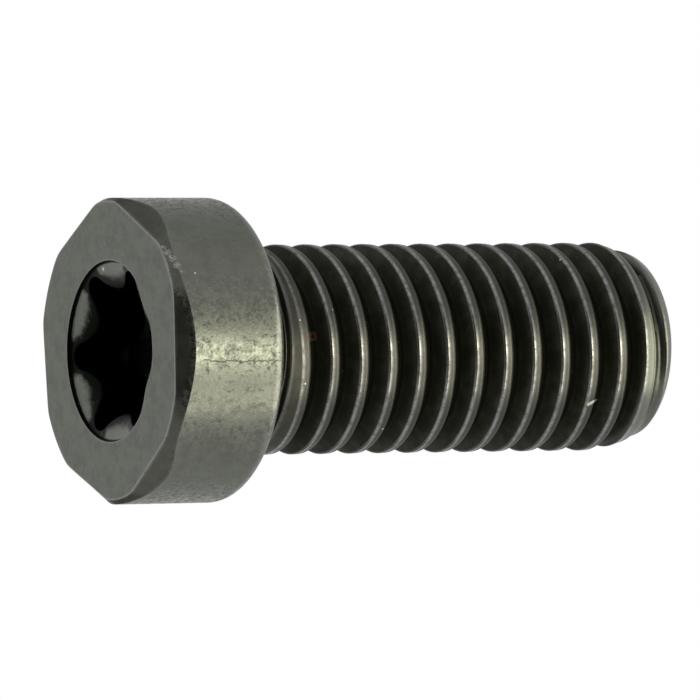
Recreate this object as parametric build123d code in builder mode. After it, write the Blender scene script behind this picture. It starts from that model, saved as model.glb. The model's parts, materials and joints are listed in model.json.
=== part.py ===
"""Fillister head screw, 8-40 thread, with a six-lobe socket.

Units are millimetres. The screw stands on its head: the flat face of the head
lies on Z = 0, the thread points up, and the origin is the centre of that face.
"""

import os
from math import ceil, cos, radians, tan

from build123d import *

# Head: a cylinder, bevelled down to a rounded six-sided face
head_diameter = 5.89
head_height = 2.33
head_rim_radius = 0.26  # rounding at the bearing side
face_across_flats = 5.41
face_across_corners = 5.73
face_corner_radius = 0.60
bevel_angle = 34.0  # from the screw's axis
head_turn = -4.0  # degrees that the face and the socket are turned from the axes

# Socket: six lobes, each in line with a side of the face
lobes = 6
socket_across_lobes = 3.35
socket_across_valleys = 2.40
socket_lobe_radius = 0.267
socket_depth = 1.35  # of the straight walls
socket_point_angle = 150.0
entry_diameter = 3.46
entry_angle = 130.0

# Shank: a plain neck under the head, then the thread, which narrows at its end
length_under_head = 9.21
neck_diameter = 3.74
neck_length = 0.46
neck_bevel = 0.20  # where the neck meets the bearing face
major_diameter = 4.06
end_diameter = 3.52
end_length = 0.93
end_edge_radius = 0.45

# Thread: a right-hand helical groove that fades out over a cone at the neck
thread_pitch = 0.635
thread_depth = 0.338
thread_angle = 60.0
root_width = 0.090
fade_length = 0.57
thread_phase = 37.0  # degrees from +X to where the groove starts
groove_overlap = 0.05  # how far the groove's tool stands out of the thread

screw_length = head_height + length_under_head
thread_start = head_height + neck_length
major_radius = major_diameter / 2
root_radius = major_radius - thread_depth
lobe_step = 360 / lobes
upwards = (Align.CENTER, Align.CENTER, Align.MIN)


def polar(radius, angle):
    """The point at a radius from the axis and an angle in degrees from +X."""
    return Vector(radius, 0).rotate(Axis.Z, angle)


# The valleys of the socket's outline have the radius that makes them tangent to the lobes
lobe_centre = socket_across_lobes / 2 - socket_lobe_radius
valley_bottom = socket_across_valleys / 2
cos_half_step = cos(radians(lobe_step / 2))
valley_radius = (
    lobe_centre**2
    + valley_bottom**2
    - 2 * lobe_centre * valley_bottom * cos_half_step
    - socket_lobe_radius**2
) / (2 * (socket_lobe_radius + lobe_centre * cos_half_step - valley_bottom))
valley_centre = valley_bottom + valley_radius
meeting_share = socket_lobe_radius / (socket_lobe_radius + valley_radius)

# What the socket takes out of the head: lobed walls, a conical end and a conical entry
with BuildPart() as socket:
    with BuildSketch() as socket_outline:
        with BuildLine():
            for lobe in range(lobes):
                middle = head_turn + lobe_step * (lobe + 0.5)
                valley = middle + lobe_step / 2
                centre = polar(lobe_centre, middle)
                after = centre + (polar(valley_centre, valley) - centre) * meeting_share
                before = centre + (polar(valley_centre, valley - lobe_step) - centre) * meeting_share
                ThreePointArc(before, polar(socket_across_lobes / 2, middle), after)
                ThreePointArc(after, polar(valley_bottom, valley), before.rotate(Axis.Z, lobe_step))
        make_face()
    point_slope = 1 / tan(radians(socket_point_angle / 2))
    full_depth = socket_depth + socket_across_lobes / 2 * point_slope
    extrude(amount=full_depth)
    with BuildSketch(Plane.XZ):
        with BuildLine():
            Polyline(
                (0, 0),
                (socket_across_lobes, 0),
                (socket_across_lobes, full_depth - socket_across_lobes * point_slope),
                (0, full_depth),
                close=True,
            )
        make_face()
    revolve(axis=Axis.Z, mode=Mode.INTERSECT)
    entry_radius = entry_diameter / 2
    Cone(entry_radius, 0, entry_radius / tan(radians(entry_angle / 2)), align=upwards)

# The bevel's six sides grow from the face's outline until they clear the round head
with BuildPart() as head:
    for height in (0, head_height):
        growth = height * tan(radians(bevel_angle))
        corner = face_across_corners / 2 + growth
        side_middle = face_across_flats / 2 + growth
        with BuildSketch(Plane.XY.offset(height)) as outline:
            with BuildLine():
                for side in range(lobes):
                    angle = head_turn + lobe_step * side
                    ThreePointArc(
                        polar(corner, angle),
                        polar(side_middle, angle + lobe_step / 2),
                        polar(corner, angle + lobe_step),
                    )
            make_face()
            fillet(outline.vertices(), radius=face_corner_radius + growth)
    loft(ruled=True)
    Cylinder(head_diameter / 2, head_height, align=upwards, mode=Mode.INTERSECT)
    fillet(head.edges().group_by(Axis.Z)[-1], radius=head_rim_radius)
    with Locations((0, 0, head_height)):
        Cylinder(neck_diameter / 2, neck_length, align=upwards)
    at_bearing_face = head.edges().filter_by_position(Axis.Z, head_height, head_height)
    chamfer(at_bearing_face.sort_by(SortBy.LENGTH)[0], length=neck_bevel)
    add(socket.part, mode=Mode.SUBTRACT)

# One turn of the thread's groove, starting at +X on Z = 0
with BuildPart() as groove_turn:
    with BuildLine() as root_line:
        Helix(pitch=thread_pitch, height=thread_pitch, radius=root_radius)
    with BuildSketch(Plane(root_line.line @ 0, x_dir=(1, 0, 0), z_dir=(0, -1, 0))):
        with BuildLine():
            tool_depth = thread_depth + groove_overlap
            half_root = root_width / 2
            half_mouth = half_root + tool_depth * tan(radians(thread_angle / 2))
            Polyline(
                (0, -half_root),
                (tool_depth, -half_mouth),
                (tool_depth, half_mouth),
                (0, half_root),
                close=True,
            )
        make_face()
    sweep(is_frenet=True)

# The thread is cut turn by turn, then the head closes its lower end
with BuildPart() as screw:
    with Locations((0, 0, thread_start)):
        Cylinder(major_radius, screw_length - thread_start, align=upwards)
    chamfer(
        screw.edges().group_by(Axis.Z)[-1],
        length=major_radius - end_diameter / 2,
        length2=end_length,
        reference=screw.faces().sort_by(Axis.Z)[-1],
    )
    fillet(screw.edges().group_by(Axis.Z)[-1], radius=end_edge_radius)
    first_turn = thread_start - thread_pitch / 2
    for turn in range(ceil((screw_length - first_turn) / thread_pitch)):
        with Locations(Location((0, 0, first_turn + turn * thread_pitch), (0, 0, thread_phase))):
            add(groove_turn.part, mode=Mode.SUBTRACT)
    with Locations((0, 0, thread_start)):
        Cone(major_radius, root_radius, fade_length, align=upwards)
    add(head.part)
screw.part.label = "screw"

os.makedirs("parts", exist_ok=True)
export_step(screw.part, "parts/screw.step")
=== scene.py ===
"""A fillister head machine screw with a six-lobe socket, in black oxide steel.

The screw stands on its head with its thread up, on a plain pale floor. Its head,
socket, neck, thread and point are one closed mesh, finer than the CAD solid that
it stands for, and it lies in the same place.
"""

import json
import math
from bisect import bisect_right

import bmesh
import bpy
from bpy.props import FloatProperty, FloatVectorProperty, PointerProperty
from mathutils import Matrix, Vector


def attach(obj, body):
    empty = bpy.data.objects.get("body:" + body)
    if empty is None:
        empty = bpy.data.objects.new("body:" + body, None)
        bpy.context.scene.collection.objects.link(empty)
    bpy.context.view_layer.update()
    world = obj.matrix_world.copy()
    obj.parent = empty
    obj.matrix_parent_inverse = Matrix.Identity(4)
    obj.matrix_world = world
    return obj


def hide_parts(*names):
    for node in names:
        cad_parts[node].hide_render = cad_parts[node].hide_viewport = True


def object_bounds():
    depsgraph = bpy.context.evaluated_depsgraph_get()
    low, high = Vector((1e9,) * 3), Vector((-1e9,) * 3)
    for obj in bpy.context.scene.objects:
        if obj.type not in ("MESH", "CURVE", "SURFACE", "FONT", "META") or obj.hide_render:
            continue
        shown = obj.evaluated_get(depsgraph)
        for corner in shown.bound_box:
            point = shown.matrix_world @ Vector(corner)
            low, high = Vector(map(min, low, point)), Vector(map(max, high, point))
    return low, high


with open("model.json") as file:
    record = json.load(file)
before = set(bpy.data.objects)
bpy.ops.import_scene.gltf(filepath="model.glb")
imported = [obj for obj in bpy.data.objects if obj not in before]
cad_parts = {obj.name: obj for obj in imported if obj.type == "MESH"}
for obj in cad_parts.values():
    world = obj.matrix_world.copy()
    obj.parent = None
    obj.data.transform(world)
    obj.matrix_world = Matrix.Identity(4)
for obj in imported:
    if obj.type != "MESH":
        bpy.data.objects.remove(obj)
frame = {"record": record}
CAD_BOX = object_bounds()

bl_info = {
    "name": "Fillister head screw",
    "version": (1, 0, 0),
    "blender": (4, 5, 0),
    "location": "3D View > Sidebar > Screw",
    "description": "Builds a black oxide fillister head screw and a plain stage for it",
    "category": "Add Mesh",
}

MM = 0.001  # the mesh is worked in millimetres and ends in metres
MOUNTS = {mount["name"]: mount for mount in frame["record"]["mounts"]}
HEAD_RADIUS = (CAD_BOX[1].x - CAD_BOX[0].x) / 2
HEAD_HEIGHT = MOUNTS["bearing_face"]["pos_m"][2]
SCREW_LENGTH = CAD_BOX[1].z - CAD_BOX[0].z
CREST_RADIUS = MOUNTS["thread"]["dims"]["r_mm"] * MM
SOCKET_REACH = MOUNTS["socket"]["dims"]["r_mm"] * MM
SOCKET_DEPTH = MOUNTS["socket"]["dims"]["length_mm"] * MM

LOBES = 6
COLUMNS = 192  # lines of the mesh round the screw, a multiple of 12
STEP = math.tau / COLUMNS
MERGE_DISTANCE = 1e-3  # between the turns of the thread, in millimetres
CUT_DISTANCE = 1e-5  # from a level cut to a point that counts as on it, in millimetres
COLUMN_DISTANCE = 0.01  # from a column to a point that counts as on it, in columns
# crest and edge carry wear; groove and inside carry painted shade, and groove also darkens the first crest
MASKS = ("crest", "groove", "edge", "inside")  # floats that the material reads
NODE = "screw"
BODY = "root"
SLOT = "black_oxide_steel"


def length(name, description, default):
    """A length that the panel shows."""
    return FloatProperty(
        name=name, description=description, default=default, min=0.0,
        unit="LENGTH", subtype="DISTANCE", precision=6,
    )


def angle(name, description, degrees):
    """An angle that the panel shows."""
    return FloatProperty(
        name=name, description=description, default=math.radians(degrees),
        unit="ROTATION", subtype="ANGLE",
    )


def share(name, description, default, high=1.0):
    """A plain number from 0 up."""
    return FloatProperty(
        name=name, description=description, default=default, min=0.0, max=high,
        subtype="FACTOR" if high == 1.0 else "NONE",
    )


def colour(name, description, default):
    """A colour that the panel shows."""
    return FloatVectorProperty(
        name=name, description=description, default=default, size=3,
        min=0.0, max=1.0, subtype="COLOR",
    )


class HeadSizes(bpy.types.PropertyGroup):
    """The head, with its slightly six-sided face."""

    radius: length("Radius", "Radius of the head beside its face", HEAD_RADIUS)
    height: length("Height", "Height of the head", HEAD_HEIGHT)
    draft: length("Draft", "How much smaller the radius is at the shank side", 0.010 * MM)
    rim_radius: length("Rim radius", "Rounding at the shank side", 0.26 * MM)
    flat_reach: length("Face at flats", "From the axis to the middle of a side of the face", 2.70 * MM)
    corner_reach: length("Face at corners", "From the axis to a corner of the face", 2.85 * MM)
    bevel_height: length("Bevel height", "Height of the bevel at the middle of a side", 0.35 * MM)
    edge_radius: length("Edge radius", "Rounding of the bevel's two edges", 0.026 * MM)


class SocketSizes(bpy.types.PropertyGroup):
    """The six-lobe socket and its punched entry."""

    turn: angle("Turn", "How far the socket is turned from the axes", -4)
    reach: length("Reach at lobes", "From the axis to the end of a lobe", SOCKET_REACH)
    valley_reach: length("Reach at valleys", "From the axis to a valley between lobes", 1.20 * MM)
    lobe_radius: length("Lobe radius", "Rounding of a lobe", 0.267 * MM)
    depth: length("Depth", "Depth of the straight lobed wall", SOCKET_DEPTH)
    bottom_slope: angle("Bottom slope", "Slope of the floor of the socket", 15)
    entry_radius: length("Entry radius", "Radius of the entry in the face", 1.737 * MM)
    entry_drop: length("Entry drop", "Depth of the steep edge of the entry", 0.080 * MM)
    entry_slope: angle("Entry slope", "Mean slope of the entry, from the face", 24)
    entry_dent: length("Entry dents", "How far the face bulges into the entry at two valleys", 0.115 * MM)


class ShankSizes(bpy.types.PropertyGroup):
    """The neck, the thread and the point."""

    crest_radius: length("Crest radius", "Radius over the thread", CREST_RADIUS)
    thread_depth: length("Thread depth", "From crest to root", 0.338 * MM)
    root_width: length("Root width", "Width of the flat at the root", 0.068 * MM)
    thread_angle: angle("Thread angle", "Angle between the flanks", 60)
    pitch: length("Pitch", "Advance of the thread in one turn", 0.635 * MM)
    groove_height: length("Groove height", "Height of a groove's middle on the +X side", 4.312 * MM)
    neck_radius: length("Neck radius", "Radius of the plain neck", 1.870 * MM)
    neck_fillet: length("Neck fillet", "Rounding where the neck meets the head", 0.200 * MM)
    neck_end: length("Neck end", "Height at which the thread's first wide crest begins", 2.878 * MM)
    thread_in: length("Thread in", "Height of a groove's middle where it begins to sink", 3.040 * MM)
    thread_in_full: length("Thread full", "Height of a groove's middle where it is full", 3.400 * MM)
    thread_out: length("Thread out", "Height of a groove's middle where it begins to rise", 10.980 * MM)
    thread_out_end: length("Thread gone", "Height of a groove's middle where it is gone", 11.460 * MM)
    taper_start: length("Taper start", "Height at which the point begins", 10.607 * MM)
    point_radius: length("Point radius", "Radius that the taper aims at", 1.761 * MM)
    point_rounding: length("Point rounding", "Rounding of the end", 0.450 * MM)


class FinishSettings(bpy.types.PropertyGroup):
    """The colours and the gloss of the finish, and the colours of the painted shade."""

    oxide: colour("Oxide", "Black oxide on the head", (0.162, 0.171, 0.146))
    shank_oxide: colour("Shank oxide", "Duller black oxide on the shank", (0.057, 0.058, 0.052))
    # painted shade in the grooves, the neck's gap, under the head and on the bevel; it also darkens the
    # first crest
    groove_shade: colour("Groove oxide", "Thick oxide in the grooves", (0.046, 0.046, 0.034))
    # painted shade inside the socket
    socket_shade: colour("Socket oxide", "Oxide and soot inside the socket", (0.006, 0.007, 0.005))
    worn_steel: colour("Worn steel", "Steel that shows on crests and edges", (0.30, 0.30, 0.29))
    rust: colour("Rust", "The small rust spot at the first crest", (0.17, 0.105, 0.075))
    dust: colour("Dust", "Dust grains and lint", (0.60, 0.58, 0.50))
    roughness: share("Roughness", "Roughness of the oxide", 0.345)


class StageSettings(bpy.types.PropertyGroup):
    """The floor, the light and the camera."""

    floor_size: length("Floor size", "Side of the floor", 1.2)
    floor_colour: colour("Floor", "Colour of the floor", (0.86, 0.86, 0.85))
    backdrop: share("Backdrop", "Brightness behind the screw", 1.0, 4.0)
    room: share("Room", "Brightness of the room round the screw", 0.72, 4.0)
    key_power: share("Key", "Power of the soft light in front, in watts", 0.027, 10.0)
    core_power: share("Core", "Power of the brighter middle of that light, in watts", 0.026, 10.0)
    side_power: share("Side", "Power of the weaker light beside it, in watts", 0.023, 10.0)
    top_power: share("Top", "Power of the soft light above the shank end, in watts", 0.080, 10.0)
    light_colour: colour("Light", "Colour of the soft lights", (1.0, 0.95, 0.75))
    camera_drop: angle("Camera drop", "How far below the floor's plane the camera looks up from", 28.5)
    camera_roll: angle("Camera roll", "Turn of the picture", 0.56)
    camera_distance: length("Camera distance", "From the camera to the axis", 271.0 * MM)
    aim_height: length("Aim height", "Height on the axis that the camera looks at", 0.45516 * SCREW_LENGTH)
    aim_side: length("Aim side", "How far beside the axis the camera looks", 0.0227 * MM)


class ScrewSettings(bpy.types.PropertyGroup):
    """All settings of the screw and its stage."""

    head: PointerProperty(type=HeadSizes)
    socket: PointerProperty(type=SocketSizes)
    shank: PointerProperty(type=ShankSizes)
    finish: PointerProperty(type=FinishSettings)
    stage: PointerProperty(type=StageSettings)


class Millimetres:
    """The sizes of a settings group, with its lengths in millimetres."""

    def __init__(self, group):
        for name, prop in group.bl_rna.properties.items():
            if prop.type == "FLOAT":
                value = getattr(group, name)
                setattr(self, name, value / MM if prop.subtype == "DISTANCE" else value)


# ---------------------------------------------------------------- shape helpers


def smooth(low, high, x):
    """0 at low, 1 at high, and a smooth change between."""
    t = min(1.0, max(0.0, (x - low) / (high - low)))
    return t * t * (3 - 2 * t)


def bell(x, middle, width):
    """1 at the middle, and nothing well outside the width."""
    return math.exp(-(((x - middle) / width) ** 2))


def parts(count):
    """Even steps from 0 to 1."""
    return [number / count for number in range(count + 1)]


def turned(radius, turn, height):
    """A point at a radius and a height, turned round the axis from +X."""
    return Vector((radius * math.cos(turn), radius * math.sin(turn), height))


def level(radius, height):
    """Places the corners of a round, level ring."""
    return lambda turn, _: turned(radius, turn, height)


def off_middle(turn, middle, period):
    """The turn from the nearest of the evenly spaced middles, between -period/2 and period/2."""
    return (turn - middle + period / 2) % period - period / 2


# The face was struck a little unevenly. Its sides and corners in turn: the angle from +X
# in degrees, and the reach and the bevel's height as shares of the even ones.
FACE = (
    (-155, 1.010, 1.20),
    (-127, 1.016, 0.60),
    (-91, 0.995, 0.93),
    (-57, 0.986, 0.58),
    (-36, 0.997, 1.02),
    (-2, 1.002, 0.24),
    (22, 1.005, 0.97),
    (52, 0.998, 0.43),
    (84, 1.002, 1.03),
    (113, 0.990, 0.51),
    (149, 1.004, 0.99),
    (178, 1.014, 0.26),
)
FACE_REACH, FACE_BEVEL = 1, 2  # the columns of that table
CORNER_SHARPNESS = 55.0  # how tightly the face's outline turns at its corners
SIDE_SPREAD = 1.2  # how far from its middle a side still shapes the outline, in radians

# From here to the finish, lengths are in millimetres, and masks and rubs are shares.
# The head, from its shank side to its face; the bevel's two edges have rows of the part
# of their rounding and its rub
BEARING_SHADE = 0.6  # painted shade, as the groove mask, on the bearing face beside the neck
RIM_RUB, RIM_RUB_AT, RIM_RUB_WIDTH = 0.30, 0.80, 0.16  # a line along the rim's rounding
PLAIN_SIDE_END = 0.50  # height that is clear of the bevel
SIDE_EDGE = ((0.0, 0.10), (0.33, 0.45), (0.67, 0.45), (1.0, 0.0))
FACE_EDGE = ((0.0, 0.3), (0.33, 1.0), (0.67, 1.0), (1.0, 0.4))
# painted shade over the bevel
BEVEL_SHADE = 0.45

# The socket's entry, which isn't quite round
ENTRY_OVAL = 0.033  # how much further it reaches to the -Y and +Y sides
ENTRY_DENTS = (-30, 30)  # where the face bulges into it, in degrees from the lobe at -Y
DENT_WIDTH = 11  # in degrees
ENTRY_LIP = 0.012  # rounding of the face into the entry
# Painted shade grows row by row down this rounding, as a hundredth of each row's degrees
LIP_TURNS = (0.0, 30.0, 60.0, 85.0)  # the rows of that rounding, in degrees
LIP_RUB, LIP_RUB_END = 0.35, 45  # and how far down it is rubbed, in degrees
ENTRY_FOOT = 0.012  # how far the foot of the steep edge lies inside its top
FOOT_LEAD = (0.008, 0.010)  # the row before the foot: inside the top, and above the foot
SLOPE_ROUNDING = 0.45  # share of the entry's slope that steepens towards the lobes
SLOPE_SHADE = (0.25, 0.90)  # the part of the slope over which painted shade covers it
VALLEY_SHADE = (14.0, 22.0)  # the edge of the valley left clear of painted shade, in degrees from its middle
LOBE_SHARE = 7 / 16  # share of the columns that a lobe takes, and the valleys the rest
# Rows of the socket's wall: how far it narrows, the share of its depth, and a drop
WALL = (
    (1.0, 0.0, 0.010),
    (0.995, 0.0, 0.05),
    (0.99, 0.15, 0.0),
    (0.985, 0.4, 0.0),
    (0.98, 0.7, 0.0),
    (0.98, 0.97, 0.0),
)

# Rows of one pitch of the thread, from the middle of one groove to the next: the part,
# how far across it the row lies, how far below the crest, and how much it is rubbed.
SECTION = (
    ("root", 0.00, 0.0, 0.0),
    ("rise", 0.02, 0.0, 0.0),
    ("rise", 0.32, 0.0, 0.0),
    ("rise", 0.64, 0.0, 0.0),
    ("rise", 0.90, 0.0, 0.0),
    ("crest", 0.00, 0.020, 0.60),
    ("crest", 0.04, 0.007, 1.00),
    ("crest", 0.10, 0.001, 1.00),
    ("crest", 0.22, 0.000, 0.90),
    ("crest", 0.33, 0.002, 0.35),
    ("crest", 0.46, 0.006, 0.10),
    ("crest", 0.60, 0.006, 0.04),
    ("crest", 0.76, 0.005, 0.08),
    ("crest", 0.88, 0.009, 0.04),
    ("crest", 0.96, 0.019, 0.00),
    ("crest", 1.00, 0.030, 0.00),
    ("fall", 0.90, 0.0, 0.0),
    ("fall", 0.60, 0.0, 0.0),
    ("fall", 0.30, 0.0, 0.0),
    ("fall", 0.02, 0.0, 0.0),
    ("root", 1.00, 0.0, 0.0),
)
HOLLOW_HEIGHT = 0.5  # a crest's hollow is whole from this share of the thread's depth
LEAST_HEIGHT = 0.060  # of the thread over its root, where the point is narrowest

# Where crests differ near the thread's ends: heights from none of a change to all of it
LAST_CREST = (10.70, 10.80)
FIRST_CREST = (3.25, 3.12)
AT_POINT = (11.0, 11.25)
LAST_CREST_FILL = 0.012  # how much shallower the last crest's hollow and shoulders are
FIRST_CREST_UNRUBBED, POINT_UNRUBBED = 0.5, 0.6
# how much the first crest is darkened with the groove colour
FIRST_CREST_DARKER = 0.55
# The groove's mask of painted shade over the share of its depth: where it begins and is whole, each with
# what the last crest adds, and then the root, which goes past 1
BLACK_FROM, BLACK_FROM_LAST = 0.03, 0.03
BLACK_FULL, BLACK_FULL_LAST = 0.09, 0.45
ROOT_DEPTH, ROOT_SHADE = (0.75, 0.97), 0.5

# The neck: the edge where the first crest ends, as rows of height over the edge and inset
# from the crest's radius, and then the foot, with its height and radius over the neck's
NECK_CUT = 0.090  # where the thread ends and the rows begin, over the neck's end
EDGE_TILT, EDGE_WAVE = 0.022, 0.006
CREST_END = ((0.045, 0.006), (0.020, 0.010), (0.006, 0.022), (-0.002, 0.050), (-0.010, 0.085))
CREST_END_FOOT = (-0.020, 0.050)
CREST_END_RUB = 0.25
# The thin fold beside it: how far below the edge it lies, how it waves, and its rows of
# height over its middle, radius over the neck's and rub
FOLD_DROP, FOLD_WAVE, FOLD_TURN = 0.050, 0.036, math.radians(87)
FOLD_APART = (0.055, 0.090)  # distance over which a gap opens between edge and fold
FOLD_TOP = 0.014
# painted shade in the gap between the crest's end and the fold, and on the fold
GAP_SHADE, FOLD_SHADE = 0.8, 0.7
FOLD = (
    (0.012, 0.060, 0.4),
    (0.004, 0.085, 0.6),
    (-0.005, 0.085, 0.6),
    (-0.013, 0.055, 0.2),
    (-0.024, 0.010, 0.0),
    (-0.040, 0.0, 0.0),
)

END_DISH = 0.035  # depth of the dish in the point's end
DISH_REACH = 0.5  # share of the end's radius over which it sinks in
ROUNDING_ROWS, ROWS_BEFORE = 9, 3  # level rows on the point's rounding, and before it


class Thread:
    """The rolled thread: where each row of its section lies at any height."""

    def __init__(self, sizes):
        self.s = s = sizes
        self.root_radius = s.crest_radius - s.thread_depth
        self.slope = math.tan(s.thread_angle / 2)
        end = SCREW_LENGTH / MM
        self.lean = lean = math.atan((s.crest_radius - s.point_radius) / (end - s.taper_start))
        reach = s.point_rounding * math.tan((math.pi / 2 - lean) / 2)
        self.arc_radius = s.point_radius - reach  # centre of the end's rounding
        self.arc_height = end - s.point_rounding
        self.arc_start = self.arc_height + s.point_rounding * math.sin(lean)
        self.arc_end = self.arc_start + s.point_rounding * (math.pi / 2 - lean)
        self.places = [self.row(number, s.crest_radius)[0] for number in range(len(SECTION))]

    def outline(self, run):
        """Radius and height of the blank's outline, run up along it from the face side."""
        s = self.s
        if run > self.arc_start:
            rise = self.lean + (run - self.arc_start) / s.point_rounding
            return (
                self.arc_radius + s.point_rounding * math.cos(rise),
                self.arc_height + s.point_rounding * math.sin(rise),
            )
        taper = max(0.0, run - s.taper_start) * math.tan(self.lean)
        return s.crest_radius - taper, run

    def row(self, number, top):
        """Along the axis from the groove's middle, the drop below the top radius, and the rub."""
        s = self.s
        part, across, drop, rub = SECTION[number]
        height = top - self.root_radius
        flank = s.root_width / 2 + height * self.slope
        if part == "root":
            return across * s.pitch, height, rub
        if part == "crest":
            whole = min(1.0, height / (HOLLOW_HEIGHT * s.thread_depth))
            return flank + across * (s.pitch - 2 * flank), drop * whole, rub
        run = s.root_width / 2 + across * height * self.slope
        return (run if part == "rise" else s.pitch - run), height * (1 - across), rub

    def section(self, along, top):
        """The same at a distance from the groove's middle on the full thread."""
        low = min(bisect_right(self.places, along), len(SECTION) - 1) - 1
        part = (along - self.places[low]) / (self.places[low + 1] - self.places[low])
        return [x + (y - x) * part for x, y in zip(self.row(low, top), self.row(low + 1, top))]

    def depth(self, middle):
        """How deep the groove is, from 0 to 1, where its middle is at this height."""
        s = self.s
        sunk = smooth(s.thread_in, s.thread_in_full, middle)
        return sunk * smooth(s.thread_out_end, s.thread_out, middle)


class ScrewMesh:
    """One closed mesh: the shank first, then the head and the end, ring after ring."""

    def __init__(self, head, socket, shank):
        self.head, self.socket, self.shank = head, socket, shank
        self.thread = Thread(shank)
        self.bm = bmesh.new()
        layers = self.bm.verts.layers.float
        for name in ("column", *MASKS):
            layers.new(name)
        self.column, self.crest, self.groove, self.edge, self.inside = (
            layers[name] for name in ("column", *MASKS)
        )

    # ---- shank

    def spin_thread(self, low, high):
        """The helical surface of the thread, from below low to above high."""
        s, bm = self.shank, self.bm
        first = math.floor((low - s.groove_height) / s.pitch) - 1
        base = s.groove_height + first * s.pitch
        turns = math.ceil((high - base) / s.pitch) + 1
        chain = []
        for number in range(len(SECTION)):
            along, drop, _ = self.thread.row(number, s.crest_radius)
            chain.append(bm.verts.new((s.crest_radius - drop, 0.0, base + along)))
        edges = [bm.edges.new(pair) for pair in zip(chain, chain[1:])]
        bmesh.ops.spin(
            bm, geom=chain + edges, cent=(0, 0, 0), axis=(0, 0, 1),
            dvec=(0, 0, s.pitch / COLUMNS), angle=math.tau,
            steps=COLUMNS, use_merge=False, use_duplicate=False,
        )
        one_turn = bm.verts[:] + bm.edges[:] + bm.faces[:]
        for turn in range(1, turns):
            made = bmesh.ops.duplicate(bm, geom=one_turn)["geom"]
            verts = [g for g in made if isinstance(g, bmesh.types.BMVert)]
            bmesh.ops.translate(bm, verts=verts, vec=(0, 0, turn * s.pitch))
        bmesh.ops.remove_doubles(bm, verts=bm.verts, dist=MERGE_DISTANCE)

    def cut(self, height, below=False, above=False):
        """Cuts a level line into the shank, and clears what is below or above it."""
        bm = self.bm
        return bmesh.ops.bisect_plane(
            bm, geom=bm.verts[:] + bm.edges[:] + bm.faces[:], dist=CUT_DISTANCE,
            plane_co=(0, 0, height), plane_no=(0, 0, 1),
            clear_inner=below, clear_outer=above,
        )["geom_cut"]

    def end_loop(self, geometry):
        """An open end's loop with one corner on each column; returns its edges."""
        bm = self.bm
        verts = [g for g in geometry if isinstance(g, bmesh.types.BMVert)]
        on, spare = {}, []
        for vert in verts:
            place = (math.atan2(vert.co.y, vert.co.x) / STEP) % COLUMNS
            near = round(place) % COLUMNS
            if abs(off_middle(place, near, COLUMNS)) < COLUMN_DISTANCE and near not in on:
                on[near] = vert
            else:
                spare.append((vert, near))
        bmesh.ops.weld_verts(bm, targetmap={vert: on[near] for vert, near in spare})
        for number, vert in on.items():
            vert[self.column] = number
        loop = set(on.values())
        return [
            edge for edge in bm.edges
            if edge.is_boundary and edge.verts[0] in loop and edge.verts[1] in loop
        ]

    def place_shank(self):
        """Puts every point of the shank where thread and point meet, with its masks of wear and painted
        shade.
        """
        s, thread = self.shank, self.thread
        least = thread.root_radius + LEAST_HEIGHT
        for vert in self.bm.verts:
            turn = math.atan2(vert.co.y, vert.co.x)
            start = vert.co.z
            along = (start - s.groove_height - s.pitch * turn / math.tau) % s.pitch
            middle = start - along + (s.pitch if along > s.pitch / 2 else 0.0)
            deep = thread.depth(middle)
            run = start
            for _ in range(3):  # the place on the outline settles in three rounds
                new, drop, rub = thread.section(along, max(thread.outline(run)[0], least))
                run = start + (new - along) * deep
            top, height = thread.outline(run)
            last = smooth(*LAST_CREST, start)
            drop = deep * max(0.0, drop - LAST_CREST_FILL * last)
            vert.co = turned(top - drop, turn, height)
            first, at_point = smooth(*FIRST_CREST, height), smooth(*AT_POINT, height)
            vert[self.crest] = rub * (1 - FIRST_CREST_UNRUBBED * first - POINT_UNRUBBED * at_point)
            # painted shade deepens with the depth below the crest, and more at the root; the first crest
            # is darkened too
            share_down = drop / s.thread_depth
            black_from = BLACK_FROM + BLACK_FROM_LAST * last
            black_full = BLACK_FULL + BLACK_FULL_LAST * last
            black = smooth(black_from, black_full, share_down)
            vert[self.groove] = max(black, FIRST_CREST_DARKER * first)
            vert[self.groove] += ROOT_SHADE * smooth(*ROOT_DEPTH, share_down)

    # ---- rings

    def ring(self, edges, place, edge=0.0, inside=0.0, groove=0.0):
        """Extrudes the open loop and puts each new corner where place(turn, number) says."""
        made = bmesh.ops.extrude_edge_only(self.bm, edges=edges)["geom"]
        for vert in (g for g in made if isinstance(g, bmesh.types.BMVert)):
            number = vert[self.column]
            vert.co = place(number * STEP, int(round(number)))
            vert[self.edge], vert[self.inside] = edge, inside
            vert[self.groove], vert[self.crest] = groove, 0.0
        return [g for g in made if isinstance(g, bmesh.types.BMEdge) and g.is_boundary]

    def close(self, edges, height):
        """Closes the loop to one corner on the axis."""
        made = bmesh.ops.extrude_edge_only(self.bm, edges=edges)["geom"]
        verts = [g for g in made if isinstance(g, bmesh.types.BMVert)]
        bmesh.ops.pointmerge(self.bm, verts=verts, merge_co=(0, 0, height))

    # ---- head outlines

    def uneven(self, turn, item):
        """A value of the uneven face at a turn, smoothly between its sides and corners."""
        here = (math.degrees(turn) - FACE[0][0]) % 360 + FACE[0][0]
        keys = (*FACE, (FACE[0][0] + 360, *FACE[0][1:]))
        for low, high in zip(keys, keys[1:]):
            if here <= high[0]:
                return low[item] + (high[item] - low[item]) * smooth(low[0], high[0], here)
        return FACE[0][item]

    def face_reach(self, turn):
        """From the axis to the outline of the face: six straight sides and soft corners."""
        h, sharp = self.head, CORNER_SHARPNESS
        total = math.exp(-sharp * self.uneven(turn, FACE_REACH) * h.corner_reach)
        for middle, reach, _ in FACE[::2]:
            off = off_middle(turn, math.radians(middle), math.tau)
            if abs(off) < SIDE_SPREAD:
                total += math.exp(-sharp * reach * h.flat_reach / math.cos(off))
        return -math.log(total) / sharp

    def side_reach(self, height):
        """Radius of the head's side, with its slight draft."""
        h = self.head
        return h.radius - h.draft * height / h.height

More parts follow.
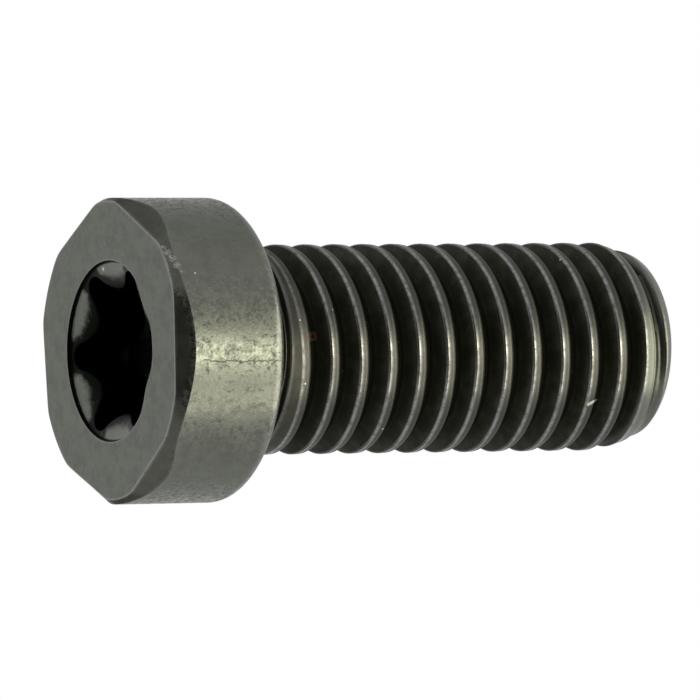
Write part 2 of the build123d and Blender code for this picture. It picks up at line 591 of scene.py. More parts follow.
    def entry_reach(self, turn):
        """From the axis to the edge of the socket's entry in the face."""
        k = self.socket
        near = turn + math.pi / 2 - k.turn  # 0 at the lobe on the -Y side
        dent = sum(
            bell(math.degrees(off_middle(near, math.radians(side), math.tau)), 0, DENT_WIDTH)
            for side in ENTRY_DENTS
        )
        return k.entry_radius + ENTRY_OVAL * math.cos(near) ** 2 - k.entry_dent * dent

    def lobed(self, number):
        """A corner of the six-lobe outline, with the columns shared between lobe and valley."""
        k = self.socket
        period = COLUMNS // LOBES
        half = period // 2
        step = (number - half) % period
        step = step - period if step > half else step
        lobe = ((number - step) / COLUMNS) * math.tau + k.turn
        centre = k.reach - k.lobe_radius
        half_turn = math.pi / LOBES  # from a lobe's middle to a valley's
        lean = math.cos(half_turn)
        valley_radius = (
            centre ** 2 + k.valley_reach ** 2 - 2 * centre * k.valley_reach * lean - k.lobe_radius ** 2
        ) / (2 * (k.lobe_radius - k.valley_reach + centre * lean))
        valley = Vector((math.cos(half_turn), math.sin(half_turn)))
        valley *= k.valley_reach + valley_radius
        meet = math.atan2(valley.y, valley.x - centre)
        t = abs(step) / half
        if t <= LOBE_SHARE:
            a = meet * t / LOBE_SHARE
            x, y = centre + k.lobe_radius * math.cos(a), k.lobe_radius * math.sin(a)
        else:
            a = meet + math.pi - (meet - half_turn) * (t - LOBE_SHARE) / (1 - LOBE_SHARE)
            x, y = valley.x + valley_radius * math.cos(a), valley.y + valley_radius * math.sin(a)
        return Matrix.Rotation(lobe, 2) @ Vector((x, math.copysign(y, step)))

    def cone_depth(self, point):
        """Depth of the entry's rounded slope at a point seen along the axis."""
        k = self.socket
        outer = self.entry_reach(math.atan2(point.y, point.x)) - ENTRY_FOOT
        part = (outer - point.length) / (outer - k.valley_reach)
        full = (outer - k.valley_reach) * math.tan(k.entry_slope)
        return k.entry_drop + full * ((1 - SLOPE_ROUNDING) * part + SLOPE_ROUNDING * part ** 3)

    def shade(self, point):
        """Painted shade in the socket: 0 in the middle of a valley, 1 at a lobe."""
        at = math.atan2(point.y, point.x)
        off = off_middle(at, self.socket.turn, math.tau / LOBES)
        return smooth(*VALLEY_SHADE, abs(math.degrees(off)))

    # ---- the head, from the neck round to the bottom of the socket

    def build_neck(self, edges):
        """The step down to the neck, and the thin fold that the rolling left beside it, with painted shade
        in the gap and on the fold.
        """
        s = self.shank

        def start(turn):
            return s.neck_end + EDGE_TILT * math.sin(turn) + EDGE_WAVE * math.sin(3 * turn + 1)

        def fold(turn):
            return start(turn) - FOLD_DROP - FOLD_WAVE * (1 - math.cos(3 * (turn + FOLD_TURN)))

        def beside(place, lift, radius):
            return lambda turn, _: turned(radius, turn, place(turn) + lift)

        for lift, inset in CREST_END:
            rub = CREST_END_RUB if lift > 0 else 0.0
            edges = self.ring(edges, beside(start, lift, s.crest_radius - inset), edge=rub)
        foot, out = CREST_END_FOOT
        edges = self.ring(edges, beside(start, foot, s.neck_radius + out))

        def between(turn, _):
            apart = smooth(*FOLD_APART, start(turn) - fold(turn))
            height = (start(turn) + foot + fold(turn) + FOLD_TOP) / 2
            return turned(s.neck_radius + out * (1 - apart), turn, height)

        edges = self.ring(edges, between, groove=GAP_SHADE)
        for lift, radius, rub in FOLD:
            place = beside(fold, lift, s.neck_radius + radius)
            edges = self.ring(edges, place, edge=rub, groove=FOLD_SHADE)
        return edges

    def build_head(self, edges):
        """The rounding at the neck, the bearing face, the rim and the head's side, with painted shade in
        the rounding and on the bearing face near it.
        """
        h, s = self.head, self.shank
        arc = s.neck_fillet
        for part in parts(5):
            a = part * math.pi / 2
            radius = s.neck_radius + arc * (1 - math.cos(a))
            # the rounding under the head is wholly in painted shade
            edges = self.ring(edges, level(radius, h.height + arc * (1 - math.sin(a))), groove=1.0)
        rim = h.rim_radius
        inner = self.side_reach(h.height) - rim
        for part in (0.03, 0.5, 0.97):
            radius = s.neck_radius + arc + (inner - s.neck_radius - arc) * part
            # painted shade on the bearing face fades out from the neck
            soot = BEARING_SHADE - BEARING_SHADE * part
            edges = self.ring(edges, level(radius, h.height), groove=soot)
        for part in parts(10):
            a = part * math.pi / 2
            place = level(inner + rim * math.sin(a), h.height - rim * (1 - math.cos(a)))
            edges = self.ring(edges, place, edge=RIM_RUB * bell(part, RIM_RUB_AT, RIM_RUB_WIDTH))
        for part in (0.02, 0.25, 0.5, 0.75, 1.0):
            height = h.height - rim + (PLAIN_SIDE_END - h.height + rim) * part
            edges = self.ring(edges, level(self.side_reach(height), height))
        return self.build_face(edges)

    def bevel(self, turn):
        """The bevel's edge on the side and on the face, each as (radius, height)."""
        top = self.uneven(turn, FACE_BEVEL) * self.head.bevel_height
        return Vector((self.side_reach(top), top)), Vector((self.face_reach(turn), 0.0))

    def rounded(self, turn, at_face, part):
        """A point on the rounding of one of the bevel's edges."""
        side, face = self.bevel(turn)
        tilt = math.atan2(side.x - face.x, side.y)
        low, high = (tilt, math.pi / 2) if at_face else (0.0, tilt)
        middle, spread = (low + high) / 2, (high - low) / 2
        reach = self.head.edge_radius
        corner = face if at_face else side
        centre = corner - reach / math.cos(spread) * Vector((math.cos(middle), -math.sin(middle)))
        a = low + (high - low) * part
        return centre + reach * Vector((math.cos(a), -math.sin(a)))

    def build_face(self, edges):
        """The bevel and the face, from the head's side in to the socket, with painted shade on the bevel.
        """

        def spot(at_face, part):
            def place(turn, _):
                point = self.rounded(turn, at_face, part)
                return turned(point.x, turn, point.y)
            return place

        def slanted(part):
            def place(turn, _):
                point = self.rounded(turn, False, 1.0).lerp(self.rounded(turn, True, 0.0), part)
                return turned(point.x, turn, point.y)
            return place

        def flat(part):
            def place(turn, _):
                outer = self.rounded(turn, True, 1.0).x
                inner = self.entry_reach(turn) + ENTRY_LIP
                return turned(outer + (inner - outer) * part, turn, 0.0)
            return place

        for part, rub in SIDE_EDGE:
            edges = self.ring(edges, spot(False, part), edge=rub)
        for part in (0.12, 0.5, 0.88):
            edges = self.ring(edges, slanted(part), groove=BEVEL_SHADE)
        for part, rub in FACE_EDGE:
            edges = self.ring(edges, spot(True, part), edge=rub)
        for part in (0.03, 0.2, 0.4, 0.6, 0.8, 0.97):
            edges = self.ring(edges, flat(part))
        return self.build_socket(edges)

    def build_socket(self, edges):
        """The socket's steep edge, its rounded slopes, its lobed wall and its floor, all in painted shade
        but the valleys' slopes.
        """
        k = self.socket

        def beside_entry(out, down):
            return lambda turn, _: turned(self.entry_reach(turn) + out, turn, down)

        # Painted shade grows down the entry's rounding and is whole at the foot of the steep edge
        for a in LIP_TURNS:
            sine, cosine = math.sin(math.radians(a)), math.cos(math.radians(a))
            place = beside_entry(ENTRY_LIP * (1 - sine), ENTRY_LIP * (1 - cosine))
            rub = LIP_RUB if a < LIP_RUB_END else 0.0
            edges = self.ring(edges, place, edge=rub, inside=a / 100)
        inset, lift = FOOT_LEAD
        edges = self.ring(edges, beside_entry(-inset, k.entry_drop - lift), inside=1.0)

        def slope(part):
            """Between the foot of the entry's edge and the lobed outline."""
            def place(turn, number):
                foot = turned(self.entry_reach(turn) - ENTRY_FOOT, turn, 0).xy
                point = foot.lerp(self.lobed(number), part)
                return Vector((*point, self.cone_depth(point)))
            return place

        # Painted shade covers the slope except at the valleys, and more of it further down
        for part in (0.0, 0.08, 0.3, 0.5, 0.7, 0.85, 0.97):
            edges = self.ring(edges, slope(part))
            least = 1.0 if part == 0 else smooth(*SLOPE_SHADE, part)
            for vert in {vert for edge in edges for vert in edge.verts}:
                vert[self.inside] = max(self.shade(vert.co), least)

        def wall(narrowed, share, drop):
            """On the lobed wall, below the slope's lower edge."""
            def place(_, number):
                point = self.lobed(number)
                top = self.cone_depth(point)
                return Vector((*(point * narrowed), top + (k.depth - top) * share + drop))
            return place

        def floor(narrowed):
            """On the floor, which sinks towards the middle."""
            def place(_, number):
                point = self.lobed(number) * narrowed
                sunk = (k.valley_reach - point.length) * math.tan(k.bottom_slope)
                return Vector((*point, k.depth + sunk))
            return place

        # The wall and the floor are wholly in painted shade
        for row in WALL:
            edges = self.ring(edges, wall(*row), inside=1.0)
        for narrowed in (0.95, 0.8, 0.6, 0.4, 0.2, 0.06):
            edges = self.ring(edges, floor(narrowed), inside=1.0)
        self.close(edges, k.depth + k.valley_reach * math.tan(k.bottom_slope))

    def build_end(self, edges):
        """The flat, slightly dished end of the point."""
        end = SCREW_LENGTH / MM
        for part in (0.97, 0.88, 0.7, 0.45, 0.2, 0.05):
            height = end - END_DISH * smooth(0.0, DISH_REACH, 1 - part)
            edges = self.ring(edges, level(self.thread.arc_radius * part, height))
        self.close(edges, end - END_DISH)

    def build(self):
        """The whole screw as a mesh in metres."""
        bm, thread = self.bm, self.thread
        begin = self.shank.neck_end + NECK_CUT
        self.spin_thread(begin, thread.arc_end)
        neck_edges = self.end_loop(self.cut(begin, below=True))
        end_edges = self.end_loop(self.cut(thread.arc_end, above=True))
        arc = thread.arc_end - thread.arc_start
        for step in range(-ROWS_BEFORE, ROUNDING_ROWS):
            self.cut(thread.arc_start + arc * step / ROUNDING_ROWS)
        self.place_shank()
        self.build_head(self.build_neck(neck_edges))
        self.build_end(end_edges)
        bmesh.ops.recalc_face_normals(bm, faces=bm.faces)
        open_edges = sum(1 for edge in bm.edges if not edge.is_manifold)
        if open_edges:
            raise RuntimeError(f"the screw's mesh isn't closed: {open_edges} open edges")
        if bm.calc_volume(signed=True) < 0:
            bmesh.ops.reverse_faces(bm, faces=bm.faces)
        bmesh.ops.scale(bm, vec=(MM, MM, MM), verts=bm.verts)
        for face in bm.faces:
            face.smooth = True
        bm.verts.layers.float.remove(bm.verts.layers.float["column"])
        mesh = bpy.data.meshes.new("screw_body")
        bm.to_mesh(mesh)
        bm.free()
        return mesh


# ---------------------------------------------------------------- shader maths


class Wire:
    """A shader socket that can be used in sums."""

    def __init__(self, bench, socket):
        self.bench, self.socket = bench, socket

    def __add__(self, other):
        return self.bench.math("ADD", self, other)

    def __sub__(self, other):
        return self.bench.math("SUBTRACT", self, other)

    def __rsub__(self, other):
        return self.bench.math("SUBTRACT", other, self)

    def __mul__(self, other):
        return self.bench.math("MULTIPLY", self, other)

    def __abs__(self):
        return self.bench.math("ABSOLUTE", self)

    __radd__ = __add__
    __rmul__ = __mul__


class Bench:
    """Adds nodes to a node tree."""

    def __init__(self, tree):
        self.tree = tree
        tree.nodes.clear()

    def node(self, kind, settings=None, inputs=(), output=0):
        """One node, with its settings set first and then its sockets; gives back one output."""
        node = self.tree.nodes.new(kind)
        for name, value in (settings or {}).items():
            setattr(node, name, value)
        pairs = inputs.items() if isinstance(inputs, dict) else enumerate(inputs)
        for name, value in pairs:
            if isinstance(value, Wire):
                self.tree.links.new(value.socket, node.inputs[name])
            else:
                node.inputs[name].default_value = value
        return Wire(self, node.outputs[output]) if node.outputs else node

    def math(self, operation, *values):
        return self.node("ShaderNodeMath", {"operation": operation}, values)

    def vector(self, operation, *values):
        """Vector maths that gives a vector."""
        return self.node("ShaderNodeVectorMath", {"operation": operation}, values)

    def measure(self, operation, *values):
        """Vector maths that gives a number."""
        return self.node("ShaderNodeVectorMath", {"operation": operation}, values, "Value")

    def scaled(self, vector, scale):
        return self.node("ShaderNodeVectorMath", {"operation": "SCALE"}, {0: vector, "Scale": scale})

    def split(self, vector):
        node = self.node("ShaderNodeSeparateXYZ", None, {0: vector}).socket.node
        return [Wire(self, socket) for socket in node.outputs]

    def join(self, x, y, z):
        return self.node("ShaderNodeCombineXYZ", None, [x, y, z])

    def step(self, value, low, high):
        """0 below low, 1 above high, smooth between; a low above high turns it round."""
        return self.node(
            "ShaderNodeMapRange", {"interpolation_type": "SMOOTHSTEP", "clamp": True},
            {"Value": value, "From Min": low, "From Max": high, "To Min": 0.0, "To Max": 1.0},
        )

    def noise(self, vector, scale, detail, roughness=0.5):
        return self.node(
            "ShaderNodeTexNoise", {"noise_dimensions": "3D"},
            {"Vector": vector, "Scale": scale, "Detail": detail, "Roughness": roughness},
        )

    def cells(self, vector, scale):
        """The distance from the middle of the nearest cell."""
        return self.node("ShaderNodeTexVoronoi", {"feature": "F1"}, {"Vector": vector, "Scale": scale})

    def blend(self, share, first, second):
        """Two colours mixed; the share is a wire or a number."""
        low, high = ((*c, 1.0) if isinstance(c, tuple) else c for c in (first, second))
        return self.node("ShaderNodeMix", {"data_type": "RGBA"}, {0: share, 6: low, 7: high}, 2)

    def mask(self, name):
        """A float that the mesh carries at its corners."""
        return self.node("ShaderNodeAttribute", {"attribute_name": name}, output="Fac")


# ---------------------------------------------------------------- finish

# Small marks on the surface: how far up the screw in mm, the angle from +X in degrees, the
# distance from the axis in mm, and the radius of the mark in mm
DUST = (
    (3.88, -112, 2.03, 0.030),
    (3.98, -73, 2.03, 0.026),
    (5.56, -119, 2.03, 0.028),
    (7.33, -156, 2.03, 0.034),
    (3.23, -71, 2.02, 0.024),
    (3.11, -106, 2.02, 0.026),
    (5.25, -40, 2.03, 0.030),
    (9.34, -148, 2.00, 0.026),
    (11.12, -92, 1.88, 0.022),
    (7.99, -51, 1.90, 0.020),
    (0.53, -120, 2.94, 0.028),
    (0.10, -151, 2.88, 0.030),
    (0.12, 165, 1.64, 0.050),
)
BARE_SPOTS = (
    (0.07, -132.5, 2.87, 0.080),
    (0.11, -130, 2.89, 0.105),
    (0.15, -127, 2.91, 0.105),
    (0.19, -123.5, 2.93, 0.090),
    (0.23, -120.5, 2.94, 0.055),
)
MARK_CORE = 0.6  # share of a mark's radius inside which it is whole
# The lint's two ends and the rust spot's middle: height in mm, angle, distance from the axis
LINT = ((9.575, -56.5, 2.04), (9.815, -61, 2.04))
RUST_SPOT = (3.345, -97, 2.01)
FRONT = Vector((0, -0.8788, -0.4771))  # the side on which lint and rust bridge a groove
BRIDGE_DEPTH = (-0.6, -0.5)  # how far behind them, in mm, the surface still shows them
DUST_STRENGTH, RUST_STRENGTH = 0.85, 0.85
LINT_WIDTH = (0.034, 0.020)
RUST_RADIUS, RUST_BAND, RUST_RAGGED = 0.060, (0.040, 0.012), 0.13

# Noise patterns of the finish: how many to a millimetre, their detail and roughness
PATTERNS = {
    "grain": (28.0, 3.0, 0.6),
    "cloud": (2.6, 3.0, 0.55),
    "patch": (9.0, 3.0, 0.6),
    # blotches in the painted shade
    "soot": (2.8, 3.0, 0.5),
    "rub": (8.0, 5.0, 0.8),
    "mottle": (20.0, 2.0, 0.5),
    "gaps": (4.0, 2.0, 0.5),
    "fray": (15.0, 3.0, 0.5),
}
# Pairs here and below say where a step is nothing and where it is whole.
# Regions of the screw, in mm
SIDE_INSET = (0.10, 0.04)  # inside the head's radius
FACE_HEIGHT = (0.004, 0.001)
SHANK_RISE = 0.2  # over the bearing face
SHANK_REACH = (2.3, 2.2)  # from the axis
POINT_HEIGHT = (10.95, 10.65)
# Pits, and fine cracks drawn out along the head's side
PITS_PER_MM, PIT_SIZE, PIT_PLACES = 7.0, (0.20, 0.10), (0.50, 0.62)
CRACKS_ROUND, CRACKS_ALONG, CRACK_NOISE = 7.0, 1.5, (1.0, 4.0, 0.65)
CRACK_WIDTH, CRACK_PLACES = (0.012, 0.003), (0.515, 0.61)
# The one long crack, which wavers beside the middle of the -Y side
SEAM_X, SEAM_WAVER, SEAM_BENDS, SEAM_NOISE = 0.21, 0.30, 2.6, (1.0, 4.0, 0.75)
SEAM_WIDTH, SEAM_SIDE = (0.013, 0.005), (0.0, -0.1)
SEAM_HEIGHT, SEAM_GAPS = (0.42, 0.50), (0.36, 0.44)
# Colours: how much each part covers, and its tint as a share of the oxide's colour
CLOUD_SHARE, PATCH_SHARE, CLOUD_RANGE = 0.65, 0.35, (0.60, 0.36)
CLOUD_COVER, CLOUD_COVER_FACE, CLOUD_TINT = 0.26, 0.22, 0.45
# Painted shade: its blotches and tints of the groove colour, its darkest root, and the socket's ragged
# edge
SHADE_BLOTCH_RANGE, SHADE_TINTS = (0.40, 0.65), (0.85, 1.35)
ROOT_RANGE, ROOT_TINT = (1.1, 1.5), 0.3
SOCKET_RAGGED, SOCKET_RANGE = 0.9, (0.10, 0.85)
PIT_COVER, PIT_COVER_LESS_SIDE, PIT_TINT = 0.6, 0.35, 0.5
CRACK_COVER, CRACK_TINT = 0.65, 0.2
CREST_WORN, CREST_WORN_PATCHY, CREST_RUB = 0.45, 0.55, (0.38, 0.56)
EDGE_RUB, BARE_GRAIN = (0.26, 0.52), (0.43, 0.52)
# What makes the finish rougher, or smoother where it is worn
ROUGH_CLOUD, ROUGH_GRAIN, ROUGH_RUST = 0.14, 0.16, 0.25
ROUGH_SHANK, ROUGH_GROOVE, ROUGH_FACE, SMOOTH_WORN = 0.06, 0.22, 0.12, 0.20
ROUGH_SIDE_PATCH, ROUGH_SIDE_MOTTLE = 0.95, 0.45
# What stands up or sinks in
HIGH_GRAIN, HIGH_PATCH, HIGH_PATCH_SIDE = 0.35, 0.45, 0.6
DEEP_PIT, DEEP_CRACK, FLAT_CREST = 0.5, 1.4, 0.75
BUMP_STRENGTH, BUMP_HEIGHT = 0.40, 0.010 * MM


def tinted(colour, share):
    """A colour made darker or lighter."""
    return tuple(channel * share for channel in colour)


def black_oxide(finish):
    """Black oxide steel: painted shade in the grooves and the socket, rubbed along crests and edges."""
    material = bpy.data.materials.new(SLOT)
    material.use_nodes = True
    b = Bench(material.node_tree)
    place = b.scaled(b.node("ShaderNodeTexCoord", output="Object"), 1 / MM)  # millimetres
    x, y, z = b.split(place)
    crest, groove, edge, inside = (b.mask(name) for name in MASKS)
    noise = {name: b.noise(place, *pattern) for name, pattern in PATTERNS.items()}
    cloud, grain, patch = noise["cloud"], noise["grain"], noise["patch"]

    def near(height, turn, reach, radius):
        """1 at a small mark on the surface, 0 outside its radius."""
        centre = tuple(turned(reach, math.radians(turn), height))
        return b.step(b.measure("DISTANCE", place, centre), radius, radius * MARK_CORE)

    def bridging(mark):
        """Offset from a mark without its part towards the front, and where it may show."""
        height, turn, reach = mark
        off = b.vector("SUBTRACT", place, tuple(turned(reach, math.radians(turn), height)))
        below = b.measure("DOT_PRODUCT", off, tuple(FRONT))
        return b.vector("SUBTRACT", off, b.scaled(tuple(FRONT), below)), b.step(below, *BRIDGE_DEPTH)

    # Regions
    out = b.measure("LENGTH", b.join(x, y, 0.0))
    on_side = b.step(out, *(HEAD_RADIUS / MM - inset for inset in SIDE_INSET))
    on_face = b.step(z, *FACE_HEIGHT)
    on_shank = b.step(z, HEAD_HEIGHT / MM, HEAD_HEIGHT / MM + SHANK_RISE)
    on_shank = on_shank * b.step(out, *SHANK_REACH) * b.step(z, *POINT_HEIGHT)

    # Pits and cracks
    pit = b.step(b.cells(place, PITS_PER_MM), *PIT_SIZE) * b.step(patch, *PIT_PLACES)
    around = b.math("ARCTAN2", x, y) * (HEAD_RADIUS / MM)
    drawn = b.noise(b.join(around * CRACKS_ROUND, z * CRACKS_ALONG, 0.0), *CRACK_NOISE)
    crack = b.step(abs(drawn - 0.5), *CRACK_WIDTH) * b.step(patch, *CRACK_PLACES) * on_side
    waver = b.noise(b.join(0.0, 0.0, z * SEAM_BENDS), *SEAM_NOISE) - 0.5
    seam = b.step(abs(x - SEAM_X - SEAM_WAVER * waver), *SEAM_WIDTH)
    seam = seam * b.step(y, *SEAM_SIDE) * on_side
    seam = seam * b.step(z, *SEAM_HEIGHT) * b.step(noise["gaps"], *SEAM_GAPS)
    crack = b.math("MAXIMUM", crack, seam)

    # Oxide, painted shade and bare steel
    tone = b.step(CLOUD_SHARE * cloud + PATCH_SHARE * patch, *CLOUD_RANGE)
    base = b.blend(on_shank, tuple(finish.oxide), tuple(finish.shank_oxide))
    cover = CLOUD_COVER + CLOUD_COVER_FACE * on_face
    base = b.blend(tone * cover, base, tinted(finish.oxide, CLOUD_TINT))
    # Painted shade in the grooves, the neck's gap, under the head and on the bevel, in blotches of two
    # tints and darkest at the root
    soot = b.step(noise["soot"], *SHADE_BLOTCH_RANGE)
    dark = b.blend(soot, *(tinted(finish.groove_shade, tint) for tint in SHADE_TINTS))
    base = b.blend(groove, base, dark)
    base = b.blend(b.step(groove, *ROOT_RANGE), base, tinted(finish.groove_shade, ROOT_TINT))
    # Painted shade inside the socket, with ragged edges
    inside = b.step(inside + SOCKET_RAGGED * (patch - 0.5), *SOCKET_RANGE)
    base = b.blend(inside, base, tuple(finish.socket_shade))
    cover = (PIT_COVER - PIT_COVER_LESS_SIDE * on_side) * pit
    base = b.blend(cover, base, tinted(finish.oxide, PIT_TINT))
    base = b.blend(CRACK_COVER * crack, base, tinted(finish.oxide, CRACK_TINT))
    rub = noise["rub"]
    worn = crest * (CREST_WORN + CREST_WORN_PATCHY * b.step(rub, *CREST_RUB))
    worn = worn + edge * b.step(rub, *EDGE_RUB)
    bare = 0.0
    for spot in BARE_SPOTS:
        bare = bare + near(*spot)
    worn = b.math("MINIMUM", worn + bare * b.step(grain, *BARE_GRAIN), 1.0)
    base = b.blend(worn, base, tuple(finish.worn_steel))

    # Dust, lint and rust
    speck = near(*DUST[0])
    for spot in DUST[1:]:
        speck = b.math("MAXIMUM", speck, near(*spot))
    first, last = (turned(reach, math.radians(turn), height) for height, turn, reach in LINT)
    span = last - first
    off, shown = bridging(LINT[0])
    along = b.measure("DOT_PRODUCT", off, tuple(span / span.length_squared))
    along = b.node("ShaderNodeClamp", None, [along, 0.0, 1.0])
    gap = b.measure("LENGTH", b.vector("SUBTRACT", off, b.scaled(tuple(span), along)))
    speck = b.math("MAXIMUM", speck, b.step(gap, *LINT_WIDTH) * shown)
    base = b.blend(speck * DUST_STRENGTH, base, tuple(finish.dust))
    off, shown = bridging(RUST_SPOT)
    ring = b.measure("LENGTH", off) + RUST_RAGGED * (noise["fray"] - 0.5)
    stain = b.step(abs(ring - RUST_RADIUS), *RUST_BAND) * shown
    base = b.blend(stain * RUST_STRENGTH, base, tuple(finish.rust))

    # Gloss and relief
    rough = finish.roughness + ROUGH_CLOUD * (cloud - 0.5) + ROUGH_GRAIN * (grain - 0.5)
    rough = rough + ROUGH_RUST * stain
    rough = rough + on_shank * (ROUGH_SHANK + ROUGH_GROOVE * groove) * (1 - worn)
    rough = rough + ROUGH_FACE * on_face - SMOOTH_WORN * worn
    mottled = ROUGH_SIDE_PATCH * (patch - 0.5) + ROUGH_SIDE_MOTTLE * (noise["mottle"] - 0.5)
    rough = rough + on_side * mottled
    relief = HIGH_GRAIN * grain + (HIGH_PATCH + HIGH_PATCH_SIDE * on_side) * patch
    relief = (relief - DEEP_PIT * pit - DEEP_CRACK * crack) * (1 - FLAT_CREST * crest)
    bump = b.node(
        "ShaderNodeBump", None,
        {"Strength": BUMP_STRENGTH, "Distance": BUMP_HEIGHT, "Height": relief},
    )
    shader = b.node(
        "ShaderNodeBsdfPrincipled", None,
        {"Base Color": base, "Metallic": 1.0, "Roughness": rough, "Normal": bump},
    )
    b.node("ShaderNodeOutputMaterial", None, {"Surface": shader})
    return material


# ---------------------------------------------------------------- operators


class SCREW_OT_body(bpy.types.Operator):
    """Builds the screw as one closed mesh and gives it its finish"""

    bl_idname = "screw.body"
    bl_label = "Screw body"

    def execute(self, context):
        settings = context.scene.screw
        build = ScrewMesh(*(Millimetres(g) for g in (settings.head, settings.socket, settings.shank)))
        body = bpy.data.objects.new("screw_body", build.build())
        context.scene.collection.objects.link(body)
        body.data.materials.append(black_oxide(settings.finish))
        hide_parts(NODE)
        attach(body, BODY)
        return {"FINISHED"}


# The soft lights: the setting of their power, their direction from the screw, their width
# and their height
LIGHTS = (
    ("key", (0.045, -0.88, 0.477), 0.066, 0.075),
    ("core", (0.03, -0.88, 0.477), 0.031, 0.075),
    ("side", (0.52, -0.70, 0.477), 0.050, 0.075),
    ("top", (0.10, -0.42, 0.90), 0.12, 0.09),
)
LIGHT_DISTANCE = 0.12
# The room: how bright it is on the camera's side and at least, and how far that side reaches
CAMERA_SIDE_LIGHT, LEAST_LIGHT = 0.08, 0.02
CAMERA_SIDE_REACH = (0.60, 0.90)
# Where else it is darker, or lighter where the number is below 0: the direction, how much,
# and how closely a ray has to point there for none and for all of it
DARKER = (
    ((-0.66, 0.75, -0.05), 0.36, 0.86, 0.96),
    ((0.66, 0.75, -0.05), 0.47, 0.86, 0.96),
    ((-0.75, 0.45, 0.48), 0.12, 0.80, 0.97),
    ((0, 0.88, -0.48), -0.16, 0.80, 0.97),
)
FLOOR_GAP = 0.005 * MM  # below the screw
FLOOR_NOISE, FLOOR_TINT, FLOOR_COVER, FLOOR_ROUGHNESS = (60.0, 2.0), 0.96, 0.1, 0.9
LENS, SENSOR = 720.0, 36.0  # in millimetres
CLIP_START, CLIP_END = 0.01, 10.0


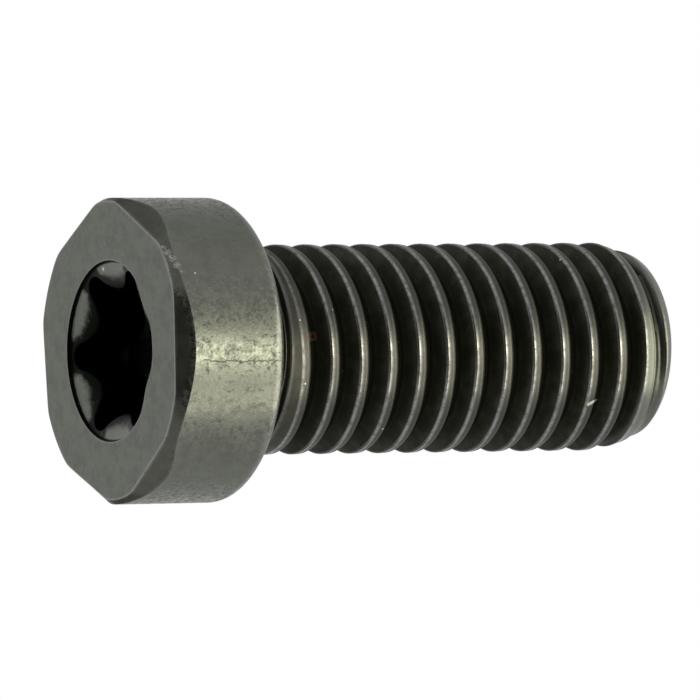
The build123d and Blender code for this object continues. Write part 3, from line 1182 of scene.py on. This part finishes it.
class SCREW_OT_stage(bpy.types.Operator):
    """Sets up the pale floor, the soft studio light and the camera"""

    bl_idname = "screw.stage"
    bl_label = "Stage"

    def execute(self, context):
        stage = context.scene.screw.stage
        self.floor(context, stage)
        self.room(context, stage)
        self.lights(context, stage)
        self.camera(context, stage)
        context.scene.view_settings.view_transform = "Standard"
        return {"FINISHED"}

    def floor(self, context, stage):
        """A one-sided floor: from below it is clear, so that the head's face can be seen."""
        bm = bmesh.new()
        bmesh.ops.create_grid(bm, x_segments=2, y_segments=2, size=stage.floor_size / 2)
        bmesh.ops.translate(bm, vec=(0, 0, CAD_BOX[0].z - FLOOR_GAP), verts=bm.verts)
        mesh = bpy.data.meshes.new("floor")
        bm.to_mesh(mesh)
        bm.free()
        floor = bpy.data.objects.new("floor", mesh)
        context.scene.collection.objects.link(floor)
        material = bpy.data.materials.new("pale_floor")
        material.use_nodes = True
        b = Bench(material.node_tree)
        place = b.node("ShaderNodeTexCoord", output="Object")
        tone = b.noise(place, *FLOOR_NOISE) * FLOOR_COVER
        paint = b.blend(tone, tuple(stage.floor_colour), tinted(stage.floor_colour, FLOOR_TINT))
        matt = b.node(
            "ShaderNodeBsdfPrincipled", None, {"Base Color": paint, "Roughness": FLOOR_ROUGHNESS},
        )
        clear = b.node("ShaderNodeBsdfTransparent")
        below = b.node("ShaderNodeNewGeometry", output="Backfacing")
        mix = b.node("ShaderNodeMixShader", None, [below, matt, clear])
        b.node("ShaderNodeOutputMaterial", None, {"Surface": mix})
        floor.data.materials.append(material)
        floor.visible_glossy = False
        floor.visible_shadow = False

    def room(self, context, stage):
        """A bright room, darker round the camera, and a level backdrop for the camera."""
        world = bpy.data.worlds.new("studio")
        world.use_nodes = True
        context.scene.world = world
        b = Bench(world.node_tree)
        ray = b.vector("NORMALIZE", b.node("ShaderNodeTexCoord", output="Generated"))

        def towards(direction, low, high):
            """1 in a direction, 0 well away from it."""
            facing = b.measure("DOT_PRODUCT", ray, tuple(Vector(direction).normalized()))
            return b.step(facing, low, high)

        drop = stage.camera_drop
        camera_side = towards((0, -math.cos(drop), -math.sin(drop)), *CAMERA_SIDE_REACH)
        light = stage.room - (stage.room - CAMERA_SIDE_LIGHT) * camera_side
        for direction, darker, low, high in DARKER:
            light = light - darker * towards(direction, low, high)
        light = b.math("MAXIMUM", light, LEAST_LIGHT)
        seen = b.node("ShaderNodeLightPath", output="Is Camera Ray")
        strength = seen * stage.backdrop + (1 - seen) * light
        sky = b.node("ShaderNodeBackground", None, {"Color": (1.0, 1.0, 1.0, 1.0), "Strength": strength})
        b.node("ShaderNodeOutputWorld", None, {"Surface": sky})

    def lights(self, context, stage):
        """Soft rectangular lights in front and above, which draw the band along the screw."""
        for name, direction, width, height in LIGHTS:
            light = bpy.data.lights.new(name, "AREA")
            light.shape = "RECTANGLE"
            light.size, light.size_y = width, height
            light.energy = getattr(stage, f"{name}_power")
            light.color = stage.light_colour
            lamp = bpy.data.objects.new(name, light)
            back = Vector(direction).normalized()
            lamp.location = Vector((0, 0, SCREW_LENGTH / 2)) + back * LIGHT_DISTANCE
            lamp.rotation_mode = "QUATERNION"
            lamp.rotation_quaternion = back.to_track_quat("Z", "Y")
            lamp.visible_camera = False
            context.scene.collection.objects.link(lamp)

    def camera(self, context, stage):
        """A long lens that looks up at the head from in front."""
        drop, roll = stage.camera_drop, stage.camera_roll
        back = Vector((0, -math.cos(drop), -math.sin(drop)))
        along = Vector((0, -math.sin(drop), math.cos(drop)))  # the axis, as the camera sees it
        side = Vector((1, 0, 0))
        right = along * math.cos(roll) + side * math.sin(roll)
        up = -(side * math.cos(roll) - along * math.sin(roll))
        data = bpy.data.cameras.new("camera")
        data.lens, data.sensor_width = LENS, SENSOR
        data.clip_start, data.clip_end = CLIP_START, CLIP_END
        camera = bpy.data.objects.new("camera", data)
        aim = Vector((stage.aim_side, 0, stage.aim_height))
        matrix = Matrix((right, up, back)).transposed().to_4x4()
        matrix.translation = aim + back * stage.camera_distance
        camera.matrix_world = matrix
        context.scene.collection.objects.link(camera)
        context.scene.camera = camera


class SCREW_PT_panel(bpy.types.Panel):
    """Lists the screw's pieces and its stage"""

    bl_idname = "SCREW_PT_panel"
    bl_label = "Fillister head screw"
    bl_space_type = "VIEW_3D"
    bl_region_type = "UI"
    bl_category = "Screw"

    def draw(self, context):
        settings = context.scene.screw
        for name in ("head", "socket", "shank", "finish", "stage"):
            box = self.layout.box()
            box.label(text=name.capitalize())
            group = getattr(settings, name)
            for prop in group.bl_rna.properties:
                if prop.type == "FLOAT":
                    box.prop(group, prop.identifier)
        for operator in OPERATORS:
            self.layout.operator(operator.bl_idname)


OPERATORS = (SCREW_OT_body, SCREW_OT_stage)
CLASSES = (
    HeadSizes, SocketSizes, ShankSizes, FinishSettings, StageSettings, ScrewSettings,
    *OPERATORS, SCREW_PT_panel,
)


def register():
    for cls in CLASSES:
        bpy.utils.register_class(cls)
    bpy.types.Scene.screw = PointerProperty(type=ScrewSettings)


def unregister():
    del bpy.types.Scene.screw
    for cls in reversed(CLASSES):
        bpy.utils.unregister_class(cls)


def main():
    register()
    bpy.ops.screw.body()
    bpy.ops.screw.stage()


if __name__ == "__main__":
    main()
